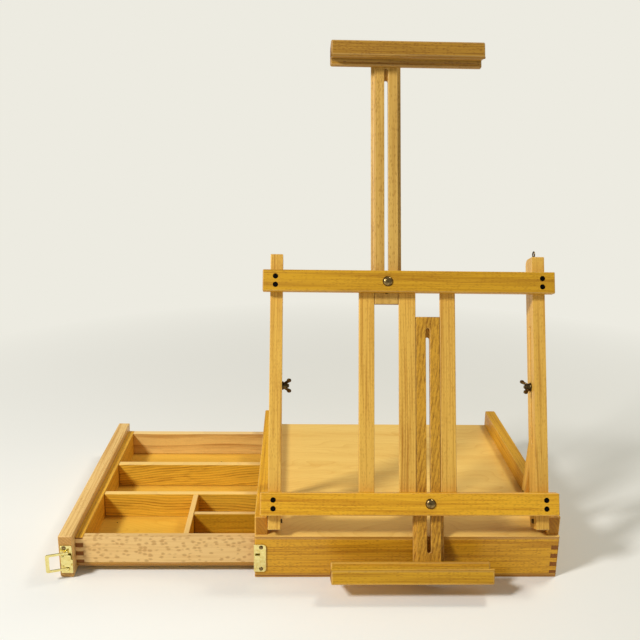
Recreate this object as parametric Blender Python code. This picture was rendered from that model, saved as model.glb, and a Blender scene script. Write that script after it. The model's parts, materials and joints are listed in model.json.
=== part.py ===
"""Wooden table-top box easel with a side drawer.

A shallow box carries a hinged frame that leans back over it. Two sliders run in the frame:
the upper one ends in a clamp and the lower one in a ledge, and a canvas stands between them.
A drawer with dividers slides out of the box's left end and is shown pulled out to its stop.

Metres, +Z up. The origin is the middle of the box's underside, +X is the right-hand side of
somebody who paints at it, and +Y points away from them.
"""
import math

import bmesh
import bpy
from mathutils import Vector

# ---------------------------------------------------------------- driving dimensions
GAP = 0.0003               # what is left between pieces that touch
BOX_WIDTH = 0.400
BOX_DEPTH = 0.372
BOX_HEIGHT = 0.060
LID_THICKNESS = 0.004
BASE_THICKNESS = 0.005
WALL = 0.010
FINGER = 0.0061            # height of one finger in the corner joints
BOX_CORNER = 0.002

RAIL_WIDTH = 0.0165
RAIL_HEIGHT = 0.026
RAIL_SETBACK = 0.004

DRAWER_TRAVEL = 0.235
PANEL_THICKNESS = 0.018
PANEL_CHAMFER = 0.0025
DRAWER_LENGTH = 0.387
DRAWER_SIDE_PLAY = 0.0125
DRAWER_SIDE = 0.0115
DRAWER_END = 0.010
DRAWER_BOTTOM_Z = 0.0093
DRAWER_BOTTOM = 0.0045
DRAWER_TOP_Z = 0.0509
DIVIDER_TOP_Z = 0.050
RUNNER_WIDTH = 0.0155

LEAN = math.radians(20.65)  # the frame's tilt from upright at its steepest
PIVOT_SETBACK = 0.0115      # pivot line behind the box's front face
PIVOT_LIFT = 0.0159         # pivot line above the lid
STILE_OUTER = 0.1828
STILE_WIDTH = 0.0165
STILE_DEPTH = 0.031
STILE_BOTTOM = -0.009
STILE_TOP = 0.350
WEB = 0.0097                # stile thickness left beside the strut's rebate
REBATE = (0.060, 0.275)
REBATE_FRONT = 0.0102
STILE_SLOT = (0.101, 0.258)
STILE_SLOT_WIDTH = 0.0062

BAR_LENGTH = 0.385
BAR_HEIGHT = 0.0285
BAR_THICKNESS = 0.014
UPPER_BAR = 0.3131          # heights along the stiles
LOWER_BAR = 0.0254
BAR_SCREW_X = 0.1757
BAR_SCREW_SPACING = 0.011

GUIDE_THICKNESS = 0.009
CHANNEL = 0.0323
MIDDLE_GUIDE = 0.0223
SIDE_GUIDE = 0.0204
GUIDE_CENTRE = -0.0015
SLIDER_FRONT = 0.0313
SLIDER_REAR = 0.0404
FLANGE = 0.0042
UPPER_SLIDER = (0.2845, 0.630)
UPPER_SLOT = (0.298, 0.6068)
UPPER_REAR_SLOT = (0.3085, 0.592)
LOWER_SLIDER = (-0.069, 0.268)
LOWER_SLOT = (-0.038, 0.2530)
LOWER_REAR_SLOT = (-0.038, 0.2410)
SLIDER_SLOT_WIDTH = 0.0053
UPPER_BOLT = 0.313
LOWER_BOLT = 0.0262

CANVAS_BAR = 0.2055         # length of the clamp and of the ledge
CANVAS_BAR_DEPTH = 0.0297
CLAMP_CENTRE = -0.0025
LEDGE_CENTRE = 0.0007
CLAMP = (0.607, 0.610, 0.633)        # rear edge, lip edge, top
LEDGE = (-0.048, -0.0515, -0.0715)   # rear edge, lip edge, bottom
CANVAS_REBATE = 0.022
REBATE_UNDERCUT = 0.006

STRUT_LENGTH = 0.1690
STRUT_WIDTH = 0.0152
STRUT_THICKNESS = 0.0058
STRUT_PIVOT_Y = 0.097       # behind the box's front face
STRUT_PIVOT_Z = 0.0735
STRUT_NUT_TURN = math.radians(50)

LATCH_Z = 0.0268            # middle height of the toggle latch
LATCH_PIN_X = -0.4412
LATCH_PIN_OUT = 0.004       # pin line in front of the box's front face
LEVER_PIN_X = -0.4478
LOOP_SWING = math.radians(17.0)

FRONT = -BOX_DEPTH / 2
BACK = BOX_DEPTH / 2
LEFT = -BOX_WIDTH / 2
RIGHT = BOX_WIDTH / 2
LID_TOP = BOX_HEIGHT
PIVOT = Vector((0, FRONT + PIVOT_SETBACK, LID_TOP + PIVOT_LIFT))
STILE_INNER = STILE_OUTER - STILE_WIDTH
STILE_FRONT = -STILE_DEPTH / 2
WEB_FACE = STILE_INNER + WEB
STRUT_INNER = WEB_FACE + 0.0002
BAR_BACK = STILE_FRONT - GAP
BAR_FRONT = BAR_BACK - BAR_THICKNESS
GUIDE_BACK = STILE_FRONT + GUIDE_THICKNESS

# ---------------------------------------------------------------- materials
FINISHES = {
    "beech": ((0.62, 0.38, 0.17), 0.45, 0.0),
    "plywood": ((0.66, 0.40, 0.18), 0.4, 0.0),
    "brass": ((0.80, 0.62, 0.25), 0.25, 1.0),
    "aged_brass": ((0.17, 0.12, 0.07), 0.4, 1.0),
    "black_steel": ((0.05, 0.05, 0.05), 0.4, 1.0),
}


def finish(name):
    """The material of that name, made the first time it is asked for."""
    found = bpy.data.materials.get(name)
    if found:
        return found
    colour, roughness, metallic = FINISHES[name]
    material = bpy.data.materials.new(name)
    material.use_nodes = True
    shader = material.node_tree.nodes["Principled BSDF"]
    shader.inputs["Base Color"].default_value = (*colour, 1)
    shader.inputs["Roughness"].default_value = roughness
    shader.inputs["Metallic"].default_value = metallic
    return material


# ---------------------------------------------------------------- building blocks
def add_object(name, mesh_source, material, parent=None):
    """Wrap a bmesh in a named object, give it its material and free the bmesh."""
    bmesh.ops.recalc_face_normals(mesh_source, faces=mesh_source.faces[:])
    mesh = bpy.data.meshes.new(name)
    mesh_source.to_mesh(mesh)
    mesh_source.free()
    piece = bpy.data.objects.new(name, mesh)
    bpy.context.scene.collection.objects.link(piece)
    piece.parent = parent
    mesh.materials.append(finish(material))
    return piece


def prism(name, outline, along, low, high, material, parent=None):
    """Extrude an outline along X, Y or Z. Its points are (y, z), (x, z) or (x, y)."""
    def place(point, depth):
        a, b = point
        return {"X": (depth, a, b), "Y": (a, depth, b), "Z": (a, b, depth)}[along]

    shape = bmesh.new()
    verts = [shape.verts.new(place(point, low)) for point in outline]
    face = shape.faces.new(verts)
    grown = bmesh.ops.extrude_face_region(shape, geom=[face])
    moved = [item for item in grown["geom"] if isinstance(item, bmesh.types.BMVert)]
    bmesh.ops.translate(shape, verts=moved, vec=Vector(place((0, 0), high - low)))
    return add_object(name, shape, material, parent)


def block(name, x, y, z, material, parent=None):
    """A straight-sided board between the given pairs of limits."""
    outline = [(x[0], y[0]), (x[1], y[0]), (x[1], y[1]), (x[0], y[1])]
    return prism(name, outline, "Z", z[0], z[1], material, parent)


def arc(centre, radius, start, end, steps):
    """Points on an arc, both ends included; angles in degrees from the first axis."""
    points = []
    for step in range(steps + 1):
        angle = math.radians(start + (end - start) * step / steps)
        points.append((centre[0] + radius * math.cos(angle), centre[1] + radius * math.sin(angle)))
    return points


def rounded_rectangle(low, high, radius, steps=4):
    """Outline of a rectangle with round corners."""
    corners = (((high[0], high[1]), 0), ((low[0], high[1]), 90),
               ((low[0], low[1]), 180), ((high[0], low[1]), 270))
    points = []
    for (a, b), start in corners:
        centre = (a - math.copysign(radius, a - (low[0] + high[0]) / 2),
                  b - math.copysign(radius, b - (low[1] + high[1]) / 2))
        points += arc(centre, radius, start, start + 90, steps)
    return points


def slot_outline(centre, half_width, low, high, steps=6):
    """Outline of an upright slot with half-round ends."""
    return (arc((centre, high - half_width), half_width, 0, 180, steps)
            + arc((centre, low + half_width), half_width, 180, 360, steps))


def turned(name, profile, along, centre, material, parent=None, segments=16):
    """Turn a profile of (radius, place) about a line along X, Y or Z through centre."""
    def put(shape, radius, place, angle):
        a = centre[0] + radius * math.cos(angle)
        b = centre[1] + radius * math.sin(angle)
        return shape.verts.new({"X": (place, a, b), "Y": (a, place, b), "Z": (a, b, place)}[along])

    shape = bmesh.new()
    rings = []
    for radius, place in profile:
        count = segments if radius else 1
        rings.append([put(shape, radius, place, math.tau * i / segments) for i in range(count)])
    for first, second in zip(rings, rings[1:]):
        for i in range(segments):
            j = (i + 1) % segments
            corners = [first[i % len(first)], first[j % len(first)],
                       second[j % len(second)], second[i % len(second)]]
            shape.faces.new(list(dict.fromkeys(corners)))
    for ring in (rings[0], rings[-1]):
        if len(ring) > 1:
            shape.faces.new(ring)
    piece = add_object(name, shape, material, parent)
    piece.data.shade_smooth()
    piece.data.set_sharp_from_angle(angle=math.radians(35))
    return piece


def combine(piece, operation, *tools):
    """Cut the tools out of a piece, or join them to it, and remove the tools."""
    for tool in tools:
        tool.hide_render = True
        tool.display_type = "WIRE"
        change = piece.modifiers.new("shape", "BOOLEAN")
        change.operation = operation
        change.solver = "EXACT"
        change.object = tool
    bpy.context.view_layer.update()
    evaluated = piece.evaluated_get(bpy.context.evaluated_depsgraph_get())
    result = bpy.data.meshes.new_from_object(evaluated)
    piece.modifiers.clear()
    piece.data = result
    for tool in tools:
        bpy.data.objects.remove(tool, do_unlink=True)
    return piece


def bore(piece, along, centre, radius, low, high, parent=None, segments=16):
    """Drill a round hole through a piece."""
    drill = turned("drill", [(radius, low), (radius, high)], along, centre, "beech", parent, segments)
    return combine(piece, "DIFFERENCE", drill)


def empty(name, location, lean=0.0, parent=None):
    """A pivot that pieces hang from; lean tips its Z axis back towards +Y."""
    pivot = bpy.data.objects.new(name, None)
    bpy.context.scene.collection.objects.link(pivot)
    pivot.parent = parent
    pivot.location = location
    pivot.rotation_euler = (-lean, 0, 0)
    return pivot


# ---------------------------------------------------------------- finger joints
def finger_lines(low, high, first):
    """Heights where a corner's fingers change over, from the top down."""
    lines = [high, high - first]
    while lines[-1] - FINGER > low + 0.6 * FINGER:
        lines.append(lines[-1] - FINGER)
    return lines + [low]


def finger_steps(low, high, first, reach, set_back, top_reaches):
    """Corner points of a fingered board end, from the top down.

    reach is where the fingers end and set_back is where the notches between them end.
    """
    lines = finger_lines(low, high, first)
    points = [(reach if top_reaches else set_back, high)]
    out = top_reaches
    for line in lines[1:-1]:
        height = line + GAP / 2 if out else line - GAP / 2
        points.append((reach if out else set_back, height))
        out = not out
        points.append((reach if out else set_back, height))
    points.append((reach if out else set_back, low))
    return points


def fingered_board(name, along, span, face, height, first, mate, top_reaches, joined, parent=None):
    """A wall with finger joints at the ends named in joined ("low", "high").

    span is the wall's length, face its thickness limits and mate the thickness of the walls
    that it meets. along is the axis of its thickness.
    """
    low_end, high_end = span
    bottom, top = height
    right = [(high_end, top), (high_end, bottom)]
    left = [(low_end, top), (low_end, bottom)]
    if "high" in joined:
        right = finger_steps(bottom, top, first, high_end, high_end - mate - GAP, top_reaches)
    if "low" in joined:
        left = finger_steps(bottom, top, first, low_end, low_end + mate + GAP, top_reaches)
    return prism(name, right + left[::-1], along, face[0], face[1], "beech", parent)


# ---------------------------------------------------------------- the box
def round_box_corners(piece, low, high):
    """Take the box's upright corners off a wall with one long rounding tool."""
    outline = rounded_rectangle((LEFT, FRONT), (RIGHT, BACK), BOX_CORNER, 3)
    return combine(piece, "INTERSECT", prism("corners", outline, "Z", low, high, "beech"))


def screw_hole(piece, along, centre, face, into, parent=None):
    """A countersunk clearance hole; into is the direction from the face into the wood."""
    profile = [(0.0037, face - 0.001 * into), (0.0037, face + 0.0003 * into),
               (0.0021, face + 0.0026 * into), (0.0021, face + 0.030 * into)]
    tool = turned("screw_hole", profile, along, centre, "beech", parent, 12)
    return combine(piece, "DIFFERENCE", tool)


def wood_screw(name, along, centre, face, into, length, material, parent=None):
    """A countersunk screw with its head just below the face."""
    profile = [(0.0033, face + 0.0003 * into), (0.0033, face + 0.0005 * into),
               (0.0017, face + 0.0026 * into), (0.0017, face + (length - 0.002) * into),
               (0.0, face + length * into)]
    return turned(name, profile, along, centre, material, parent, 12)


def build_box():
    """Base, three walls, lid, rails on the lid and the drawer's two runners."""
    panel = rounded_rectangle((LEFT, FRONT), (RIGHT, BACK), BOX_CORNER, 3)
    prism("bottom_panel", panel, "Z", 0, BASE_THICKNESS, "plywood")
    wall_z = (BASE_THICKNESS + GAP, LID_TOP - LID_THICKNESS - GAP)
    first = 0.0089
    front = fingered_board("front_wall", "Y", (LEFT, RIGHT), (FRONT, FRONT + WALL), wall_z,
                           first, WALL, True, ("high",))
    back = fingered_board("back_wall", "Y", (LEFT, RIGHT), (BACK - WALL, BACK), wall_z,
                          first, WALL, True, ("high",))
    side = fingered_board("right_wall", "X", (FRONT, BACK), (RIGHT - WALL, RIGHT), wall_z,
                          first, WALL, False, ("low", "high"))
    for wall in (front, back, side):
        round_box_corners(wall, 0, LID_TOP)
    prism("lid_panel", panel, "Z", LID_TOP - LID_THICKNESS, LID_TOP, "plywood")
    runner_x = (LEFT + 0.002, RIGHT - WALL - GAP)
    runner_z = (BASE_THICKNESS + GAP, DRAWER_BOTTOM_Z - GAP)
    edge = WALL + GAP
    block("drawer_runner_front", runner_x, (FRONT + edge, FRONT + edge + RUNNER_WIDTH), runner_z, "beech")
    block("drawer_runner_back", runner_x, (BACK - edge - RUNNER_WIDTH, BACK - edge), runner_z, "beech")
    for side_name, sign in (("left", -1), ("right", 1)):
        x = sorted((sign * RIGHT, sign * (RIGHT - RAIL_WIDTH)))
        outline = rounded_rectangle((x[0], FRONT + RAIL_SETBACK), (x[1], BACK), BOX_CORNER, 2)
        rail_z = (LID_TOP + GAP, LID_TOP + RAIL_HEIGHT)
        rail = prism("rail_" + side_name, outline, "Z", *rail_z, "beech")
        build_stile_pivot(rail, side_name, sign)
        build_strut_pivot(rail, side_name, sign)


def build_stile_pivot(rail, side_name, sign):
    """The pin that a stile turns on, through the rail, with a flat head sunk in its outside."""
    centre = (PIVOT.y, PIVOT.z)
    outer = sign * RIGHT
    bore(rail, "X", centre, 0.0033, outer + sign * 0.001, sign * (RIGHT - RAIL_WIDTH - 0.001))
    bore(rail, "X", centre, 0.0056, outer + sign * 0.001, outer - sign * 0.0020)
    profile = [(0.0047, outer - sign * 0.0001), (0.0052, outer - sign * 0.0006),
               (0.0052, outer - sign * 0.0017), (0.0030, outer - sign * 0.0017),
               (0.0030, sign * (STILE_INNER - 0.0016)), (0.0022, sign * (STILE_INNER - 0.0022))]
    turned("stile_pivot_" + side_name, profile, "X", centre, "aged_brass")


def build_strut_pivot(rail, side_name, sign):
    """The countersunk screw that a strut swings on, driven into the rail from inside."""
    centre = (FRONT + STRUT_PIVOT_Y, STRUT_PIVOT_Z)
    rail_inner = RIGHT - RAIL_WIDTH
    bore(rail, "X", centre, 0.0022, sign * (rail_inner - 0.001), sign * (rail_inner + 0.0115), segments=12)
    head = STRUT_INNER + 0.0004
    profile = [(0.0036, sign * head), (0.0036, sign * (head + 0.0003)),
               (0.0019, sign * (head + 0.0020)), (0.0019, sign * (rail_inner + 0.009)),
               (0.0, sign * (rail_inner + 0.0112))]
    turned("strut_pivot_" + side_name, profile, "X", centre, "black_steel", None, 12)


# ---------------------------------------------------------------- the drawer
def build_drawer():
    """End panel, four walls, bottom and the dividers, all hung from one empty."""
    drawer = empty("drawer_runs", (LEFT - DRAWER_TRAVEL, 0, 0))
    chamfer = PANEL_CHAMFER
    low = 0.0005
    outline = [(-PANEL_THICKNESS + chamfer, low), (-chamfer, low), (0, low + chamfer),
               (0, BOX_HEIGHT), (-PANEL_THICKNESS, BOX_HEIGHT), (-PANEL_THICKNESS, low + chamfer)]
    panel = prism("drawer_end_panel", outline, "Y", FRONT, BACK, "beech", drawer)

    near = FRONT + DRAWER_SIDE_PLAY
    far = BACK - DRAWER_SIDE_PLAY
    start = GAP
    end = DRAWER_LENGTH
    wall_z = (DRAWER_BOTTOM_Z + DRAWER_BOTTOM + GAP, DRAWER_TOP_Z)
    first = 0.0019
    fingered_board("drawer_front_wall", "Y", (start, end), (near, near + DRAWER_SIDE), wall_z,
                   first, DRAWER_END, False, ("low", "high"), drawer)
    fingered_board("drawer_back_wall", "Y", (start, end), (far - DRAWER_SIDE, far), wall_z,
                   first, DRAWER_END, False, ("low", "high"), drawer)
    fingered_board("drawer_left_wall", "X", (near, far), (start, start + DRAWER_END), wall_z,
                   first, DRAWER_SIDE, True, ("low", "high"), drawer)
    fingered_board("drawer_right_wall", "X", (near, far), (end - DRAWER_END, end), wall_z,
                   first, DRAWER_SIDE, True, ("low", "high"), drawer)
    block("drawer_bottom", (start, end), (near, far),
          (DRAWER_BOTTOM_Z, DRAWER_BOTTOM_Z + DRAWER_BOTTOM), "plywood", drawer)

    inside_x = (start + DRAWER_END + GAP, end - DRAWER_END - GAP)
    divider_z = (wall_z[0], DIVIDER_TOP_Z)
    rear_divider = (FRONT + 0.2304, FRONT + 0.2414)
    middle_divider = (FRONT + 0.1338, FRONT + 0.1430)
    short_divider = (0.1395, 0.1470)
    brush_divider = (FRONT + 0.0762, FRONT + 0.0834)
    block("divider_rear", inside_x, rear_divider, divider_z, "beech", drawer)
    block("divider_middle", inside_x, middle_divider, divider_z, "beech", drawer)
    block("divider_short", short_divider, (near + DRAWER_SIDE + GAP, middle_divider[0] - GAP),
          divider_z, "beech", drawer)
    block("divider_front", (short_divider[1] + GAP, inside_x[1]), brush_divider,
          divider_z, "beech", drawer)
    build_latch(panel, drawer)


def build_latch(panel, drawer):
    """Toggle latch on the end panel's front end: base, screw, lever and swinging loop."""
    origin = LEFT - DRAWER_TRAVEL
    pin_x = LATCH_PIN_X - origin
    lever_x = LEVER_PIN_X - origin
    pin_y = FRONT - LATCH_PIN_OUT
    plate_y = (FRONT - 0.0018, FRONT - GAP)
    post_y = (pin_y, plate_y[0] + 0.0005)
    plate = rounded_rectangle((-0.0157, LATCH_Z - 0.0193), (-0.0006, LATCH_Z + 0.0207), 0.0012, 2)
    base = prism("latch_base", plate, "Y", *plate_y, "brass", drawer)
    pairs = ((pin_x, 0.0016, 0.0133, 0.0148), (lever_x, 0.0014, 0.0066, 0.0081))
    additions = []
    for x, radius, near, far in pairs:
        for sign in (-1, 1):
            z = sorted((LATCH_Z + sign * near, LATCH_Z + sign * far))
            additions.append(block("post", (x - radius, x + radius), post_y, z, "brass", drawer))
            additions.append(turned("ear", [(radius, z[0]), (radius, z[1])], "Z", (x, pin_y),
                                    "brass", drawer, 12))
            stub = sorted((LATCH_Z + sign * (near - 0.002), LATCH_Z + sign * (near + 0.0005)))
            additions.append(turned("stub", [(0.0007, stub[0]), (0.0007, stub[1])], "Z", (x, pin_y),
                                    "brass", drawer, 8))
    combine(base, "UNION", *additions)
    screw_centre = (-0.0107, LATCH_Z + 0.0173)
    for piece in (base, panel):
        tool = turned("latch_screw_hole", [(0.0027, FRONT - 0.004), (0.0027, FRONT - 0.0012),
                                           (0.0018, FRONT - 0.0002), (0.0018, FRONT + 0.012)],
                      "Y", screw_centre, "brass", drawer, 12)
        combine(piece, "DIFFERENCE", tool)
    turned("latch_screw", [(0.0, FRONT - 0.0024), (0.0014, FRONT - 0.0023), (0.0024, FRONT - 0.0018),
                           (0.0024, FRONT - 0.0014), (0.0015, FRONT - 0.0003), (0.0015, FRONT + 0.010),
                           (0.0, FRONT + 0.0115)], "Y", screw_centre, "brass", drawer, 12)

    lever_pivot = empty("lever_swings", (lever_x, pin_y, LATCH_Z), parent=drawer)
    lever = turned("latch_lever", [(0.0014, -0.0063), (0.0014, 0.0063)], "Z", (0, 0), "brass",
                   lever_pivot, 12)
    neck = 0.0060
    blade_start = 0.0020
    blade_end = 0.0112
    blade = [(0.0, -neck), (blade_start, -neck), (blade_start, -0.0088)]
    blade += arc((blade_end - 0.002, -0.0068), 0.002, 270, 360, 3)
    blade += arc((blade_end - 0.002, 0.0068), 0.002, 0, 90, 3)
    blade += [(blade_start, 0.0088), (blade_start, neck), (0.0, neck)]
    tab = block("tab", (-0.0006, 0.0032), (-0.0006, 0.0006), (-0.0028, 0.0028), "brass", lever_pivot)
    tab.location.x = blade_end - 0.0002
    tab.rotation_euler = (0, 0, math.radians(-35))
    combine(lever, "UNION", prism("blade", blade, "Y", -0.0006, 0.0006, "brass", lever_pivot), tab)
    for sign in (-1, 1):
        bore(lever, "Z", (0, 0), 0.0010, sign * 0.0035, sign * 0.008, lever_pivot, 8)

    loop_pivot = empty("loop_swings", (pin_x, pin_y, LATCH_Z), parent=drawer)
    loop_pivot.rotation_euler = (0, 0, math.pi + LOOP_SWING)
    loop = turned("latch_loop", [(0.0016, 0.0100), (0.0016, 0.0130)], "Z", (0, 0), "brass",
                  loop_pivot, 12)
    plate = rounded_rectangle((0.0, -0.0130), (0.0271, 0.0130), 0.0026, 4)
    window = rounded_rectangle((-0.0050, -0.0097), (0.0225, 0.0097), 0.0014, 3)
    combine(loop, "UNION", prism("plate", plate, "Y", -0.0007, 0.0007, "brass", loop_pivot))
    combine(loop, "DIFFERENCE", prism("window", window, "Y", -0.003, 0.003, "brass", loop_pivot))
    combine(loop, "UNION", turned("knuckle", [(0.0016, -0.0130), (0.0016, -0.0100)], "Z", (0, 0),
                                  "brass", loop_pivot, 12))
    for sign in (-1, 1):
        bore(loop, "Z", (0, 0), 0.0010, sign * 0.0110, sign * 0.015, loop_pivot, 8)


def build_catch():
    """The keeper on the front wall that the latch's loop drops over."""
    top = 0.0489
    bottom = 0.0089
    left = -0.2009
    corner = 0.0040
    centre_x = -0.1850 - corner
    plate = [(left, top), (left, bottom)]
    plate += arc((centre_x, bottom + corner), corner, 270, 360, 4)
    plate += arc((centre_x, top - corner), corner, 0, 90, 4)
    face = FRONT - 0.0015
    catch = prism("catch_plate", plate, "Y", face, FRONT - GAP, "brass")
    hook = [(-0.1994, face + 0.0003), (-0.1994, FRONT - 0.0043), (-0.1928, FRONT - 0.0043),
            (-0.1928, FRONT - 0.0031), (-0.1982, FRONT - 0.0031), (-0.1982, face + 0.0003)]
    hook_z = (LATCH_Z - 0.0078, LATCH_Z + 0.0078)
    combine(catch, "UNION", prism("hook", hook, "Z", *hook_z, "brass"))
    wall = bpy.data.objects["front_wall"]
    for name, z in (("catch_screw_upper", 0.0448), ("catch_screw_lower", 0.0134)):
        centre = (-0.1914, z)
        for piece in (catch, wall):
            tool = turned("hole", [(0.0027, FRONT - 0.004), (0.0027, FRONT - 0.0010),
                                   (0.0018, FRONT - 0.0001), (0.0018, FRONT + 0.0088)],
                          "Y", centre, "brass", None, 12)
            combine(piece, "DIFFERENCE", tool)
        turned(name, [(0.0, FRONT - 0.0021), (0.0014, FRONT - 0.0020), (0.0024, FRONT - 0.0015),
                      (0.0024, FRONT - 0.0012), (0.0015, FRONT - 0.0002), (0.0015, FRONT + 0.0075),
                      (0.0, FRONT + 0.0085)], "Y", centre, "brass", None, 12)


# ---------------------------------------------------------------- the leaning frame
# Inside the frame's own axes X runs across, Z up the stiles and Y towards the back, with the
# pivot line as origin.
def build_stiles(frame):
    """Two stiles, each slotted for its strut's bolt and rebated outside for the strut."""
    half = STILE_DEPTH / 2
    top_round = 0.009
    outline = [(-half, STILE_BOTTOM), (-half, STILE_TOP)]
    outline += arc((half - top_round, STILE_TOP - top_round), top_round, 90, 0, 4)
    outline += arc((0, 0), half, 0, -math.degrees(math.asin(-STILE_BOTTOM / half)), 4)
    stiles = {}
    for side_name, sign in (("left", -1), ("right", 1)):
        x = sorted((sign * STILE_INNER, sign * STILE_OUTER))
        stile = prism("stile_" + side_name, outline, "X", *x, "beech", frame)
        pocket_x = sorted((sign * WEB_FACE, sign * (STILE_OUTER + 0.001)))
        combine(stile, "DIFFERENCE",
                block("pocket", pocket_x, (-REBATE_FRONT, half + 0.001), REBATE, "beech", frame))
        slot = slot_outline(0, STILE_SLOT_WIDTH / 2, *STILE_SLOT)
        slot_x = sorted((sign * (STILE_INNER - 0.001), sign * (WEB_FACE + 0.001)))
        combine(stile, "DIFFERENCE", prism("slot", slot, "X", *slot_x, "beech", frame))
        bore(stile, "X", (0, 0), 0.0034, sign * (STILE_INNER - 0.001), sign * (STILE_OUTER + 0.001), frame)
        stiles[sign] = stile
    return stiles


def build_crossbars(frame, stiles):
    """Two crossbars over the stiles' fronts, each held by two screws at either end."""
    half = BAR_HEIGHT / 2
    for bar_name, height, bolt_x in (("upper", UPPER_BAR, -1), ("lower", LOWER_BAR, 1)):
        bar = block("crossbar_" + bar_name, (-BAR_LENGTH / 2, BAR_LENGTH / 2), (BAR_FRONT, BAR_BACK),
                    (height - half, height + half), "beech", frame)
        for sign in (-1, 1):
            for place, step in (("top", 1), ("bottom", -1)):
                centre = (sign * BAR_SCREW_X, height + step * BAR_SCREW_SPACING / 2)
                screw_hole(bar, "Y", centre, BAR_FRONT, 1, frame)
                bore(stiles[sign], "Y", centre, 0.0021, STILE_FRONT - 0.001, STILE_FRONT + 0.013, frame, 12)
                side_name = "left" if sign < 0 else "right"
                wood_screw(f"crossbar_{bar_name}_screw_{side_name}_{place}", "Y", centre,
                           BAR_FRONT, 1, 0.0255, "black_steel", frame)
        slider_x = GUIDE_CENTRE + bolt_x * (MIDDLE_GUIDE + CHANNEL) / 2
        bolt_z = UPPER_BOLT if bar_name == "upper" else LOWER_BOLT
        bore(bar, "Y", (slider_x, bolt_z), 0.0028, BAR_FRONT - 0.001, BAR_BACK + 0.001, frame)
        build_slider_bolt(bar_name, slider_x, bolt_z, frame)


def build_slider_bolt(bar_name, x, z, frame):
    """Carriage bolt through a crossbar and its slider, with a wing nut behind."""
    face = BAR_FRONT - 0.0002
    profile = [(0.0, face - 0.0034)]
    for step in range(1, 5):
        angle = math.radians(90 * step / 4)
        profile.append((0.0062 * math.sin(angle), face - 0.0006 - 0.0028 * math.cos(angle)))
    profile += [(0.0062, face), (0.0024, face), (0.0024, 0.0075), (0.0018, 0.0082)]
    turned("slider_bolt_" + bar_name, profile, "Y", (x, z), "aged_brass", frame)
    nut = empty(f"slider_nut_{bar_name}_turns", (x, GUIDE_BACK + GAP, z), parent=frame)
    nut.rotation_euler = (math.radians(-90), 0, 0)
    wing_nut("slider_wing_nut_" + bar_name, nut)


def wing_nut(name, pivot, turn=0.0):
    """A wing nut on its pivot's XY plane, rising along its Z axis, its wings turned about it."""
    nut = turned(name, [(0.0058, 0.0), (0.0058, 0.0012), (0.0048, 0.0020), (0.0040, 0.0068),
                        (0.0034, 0.0074)], "Z", (0, 0), "aged_brass", pivot)
    wing = [(0.0010, 0.0016), (0.0052, 0.0016), (0.0094, 0.0058)]
    wing += arc((0.0106, 0.0090), 0.0030, -55, 150, 7)
    wing += [(0.0052, 0.0062), (0.0010, 0.0062)]
    for sign in (-1, 1):
        outline = [(sign * x, z) for x, z in wing]
        plate = prism("wing", outline, "Y", -0.0010, 0.0010, "aged_brass", pivot)
        plate.rotation_euler = (0, 0, turn)
        combine(nut, "UNION", plate)
    return bore(nut, "Z", (0, 0), 0.0028, -0.001, 0.010, pivot)


def build_guides(frame):
    """Three upright laths that leave two channels, rabbeted behind for the sliders' flanges."""
    half_middle = MIDDLE_GUIDE / 2
    rabbet = (SLIDER_REAR - CHANNEL) / 2 + 0.0005
    step_y = GUIDE_BACK - FLANGE - 0.0005
    centre = GUIDE_CENTRE
    inner = centre + half_middle + CHANNEL
    z = (LOWER_BAR - BAR_HEIGHT / 2, UPPER_BAR + BAR_HEIGHT / 2)
    middle = [(centre - half_middle, STILE_FRONT), (centre + half_middle, STILE_FRONT),
              (centre + half_middle, step_y), (centre + half_middle - rabbet, step_y),
              (centre + half_middle - rabbet, GUIDE_BACK), (centre - half_middle + rabbet, GUIDE_BACK),
              (centre - half_middle + rabbet, step_y), (centre - half_middle, step_y)]
    prism("guide_middle", middle, "Z", *z, "beech", frame)
    side = [(inner, STILE_FRONT), (inner + SIDE_GUIDE, STILE_FRONT), (inner + SIDE_GUIDE, GUIDE_BACK),
            (inner + rabbet, GUIDE_BACK), (inner + rabbet, step_y), (inner, step_y)]
    prism("guide_right", side, "Z", *z, "beech", frame)
    mirrored = [(2 * centre - x, y) for x, y in side]
    prism("guide_left", mirrored, "Z", *z, "beech", frame)


def build_slider(name, x, span, front_slot, rear_slot, frame):
    """A slider: a lath on a wider back, each with its own slot for the bolt."""
    step_y = GUIDE_BACK - FLANGE
    front = SLIDER_FRONT / 2
    rear = SLIDER_REAR / 2
    outline = [(x - front, STILE_FRONT), (x + front, STILE_FRONT), (x + front, step_y),
               (x + rear, step_y), (x + rear, GUIDE_BACK), (x - rear, GUIDE_BACK),
               (x - rear, step_y), (x - front, step_y)]
    slider = prism(name, outline, "Z", *span, "beech", frame)
    for slot, y in ((front_slot, (STILE_FRONT - 0.001, step_y)),
                    (rear_slot, (step_y - 0.001, GUIDE_BACK + 0.001))):
        hole = slot_outline(x, SLIDER_SLOT_WIDTH / 2, *slot)
        combine(slider, "DIFFERENCE", prism("slot", hole, "Y", *y, "beech", frame))


def canvas_bar(name, centre, levels, frame):
    """Clamp or ledge: a bar whose hooked rebate faces the canvas.

    levels are the heights of the rear edge, the lip's edge and the far side.
    """
    rear, lip, far = levels
    back = BAR_BACK
    front = BAR_BACK - CANVAS_BAR_DEPTH
    undercut = math.copysign(REBATE_UNDERCUT, far - lip)
    soft = 0.002 * math.copysign(1, far - lip)
    profile = [(back, far), (back, rear), (front + CANVAS_REBATE, rear),
               (front + CANVAS_REBATE, lip + undercut), (front + 0.002, lip + 0.1 * undercut),
               (front, lip + soft), (front, far)]
    half = CANVAS_BAR / 2
    return prism(name, profile, "X", centre - half, centre + half, "beech", frame)


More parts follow.
